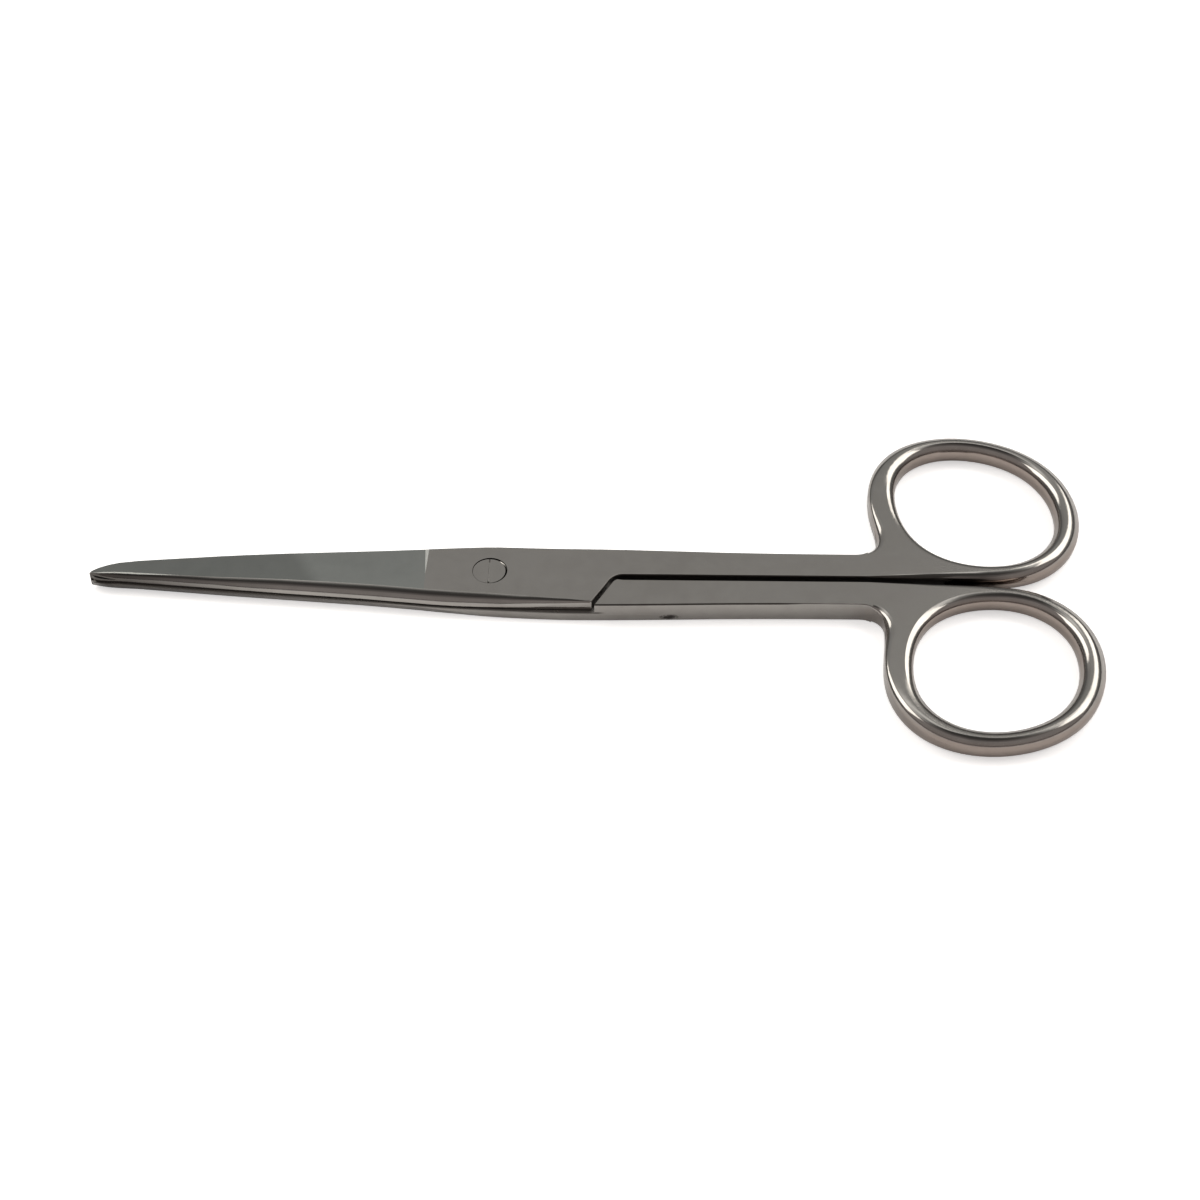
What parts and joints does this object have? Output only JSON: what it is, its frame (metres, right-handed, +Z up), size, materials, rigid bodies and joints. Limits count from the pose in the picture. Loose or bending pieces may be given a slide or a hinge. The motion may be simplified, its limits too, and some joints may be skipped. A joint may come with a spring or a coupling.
{
  "type": "first aid scissors",
  "caption": "Straight ring-handled surgical pattern scissors with blunt rounded tips, a flush slotted joint screw and flat shanks.",
  "frame": {"origin": "where the joint screw's axis meets the face the closed scissors lie on", "axes": "+X along the shanks from the screw to the finger rings, +Y towards the ring of the upper half, +Z up out of the lying scissors along the screw's axis"},
  "size_m": [0.1429, 0.0606, 0.0033],
  "materials": {
    "upper_steel": "polished, lightly ground on the flats",
    "lower_steel": "polished, lightly ground on the flats",
    "screw_steel": "ground flush with the upper half and polished"
  },
  "bodies": {
    "lower": {"lower_half": "lower_steel", "joint_screw": "screw_steel"},
    "upper": {"upper_half": "upper_steel"}
  },
  "joints": [
    {"name": "pivot", "type": "hinge", "parent": "lower", "child": "upper", "pos_m": [0, 0, 0], "axis": [0, 0, 1], "range_deg": [0, 139]}
  ]
}
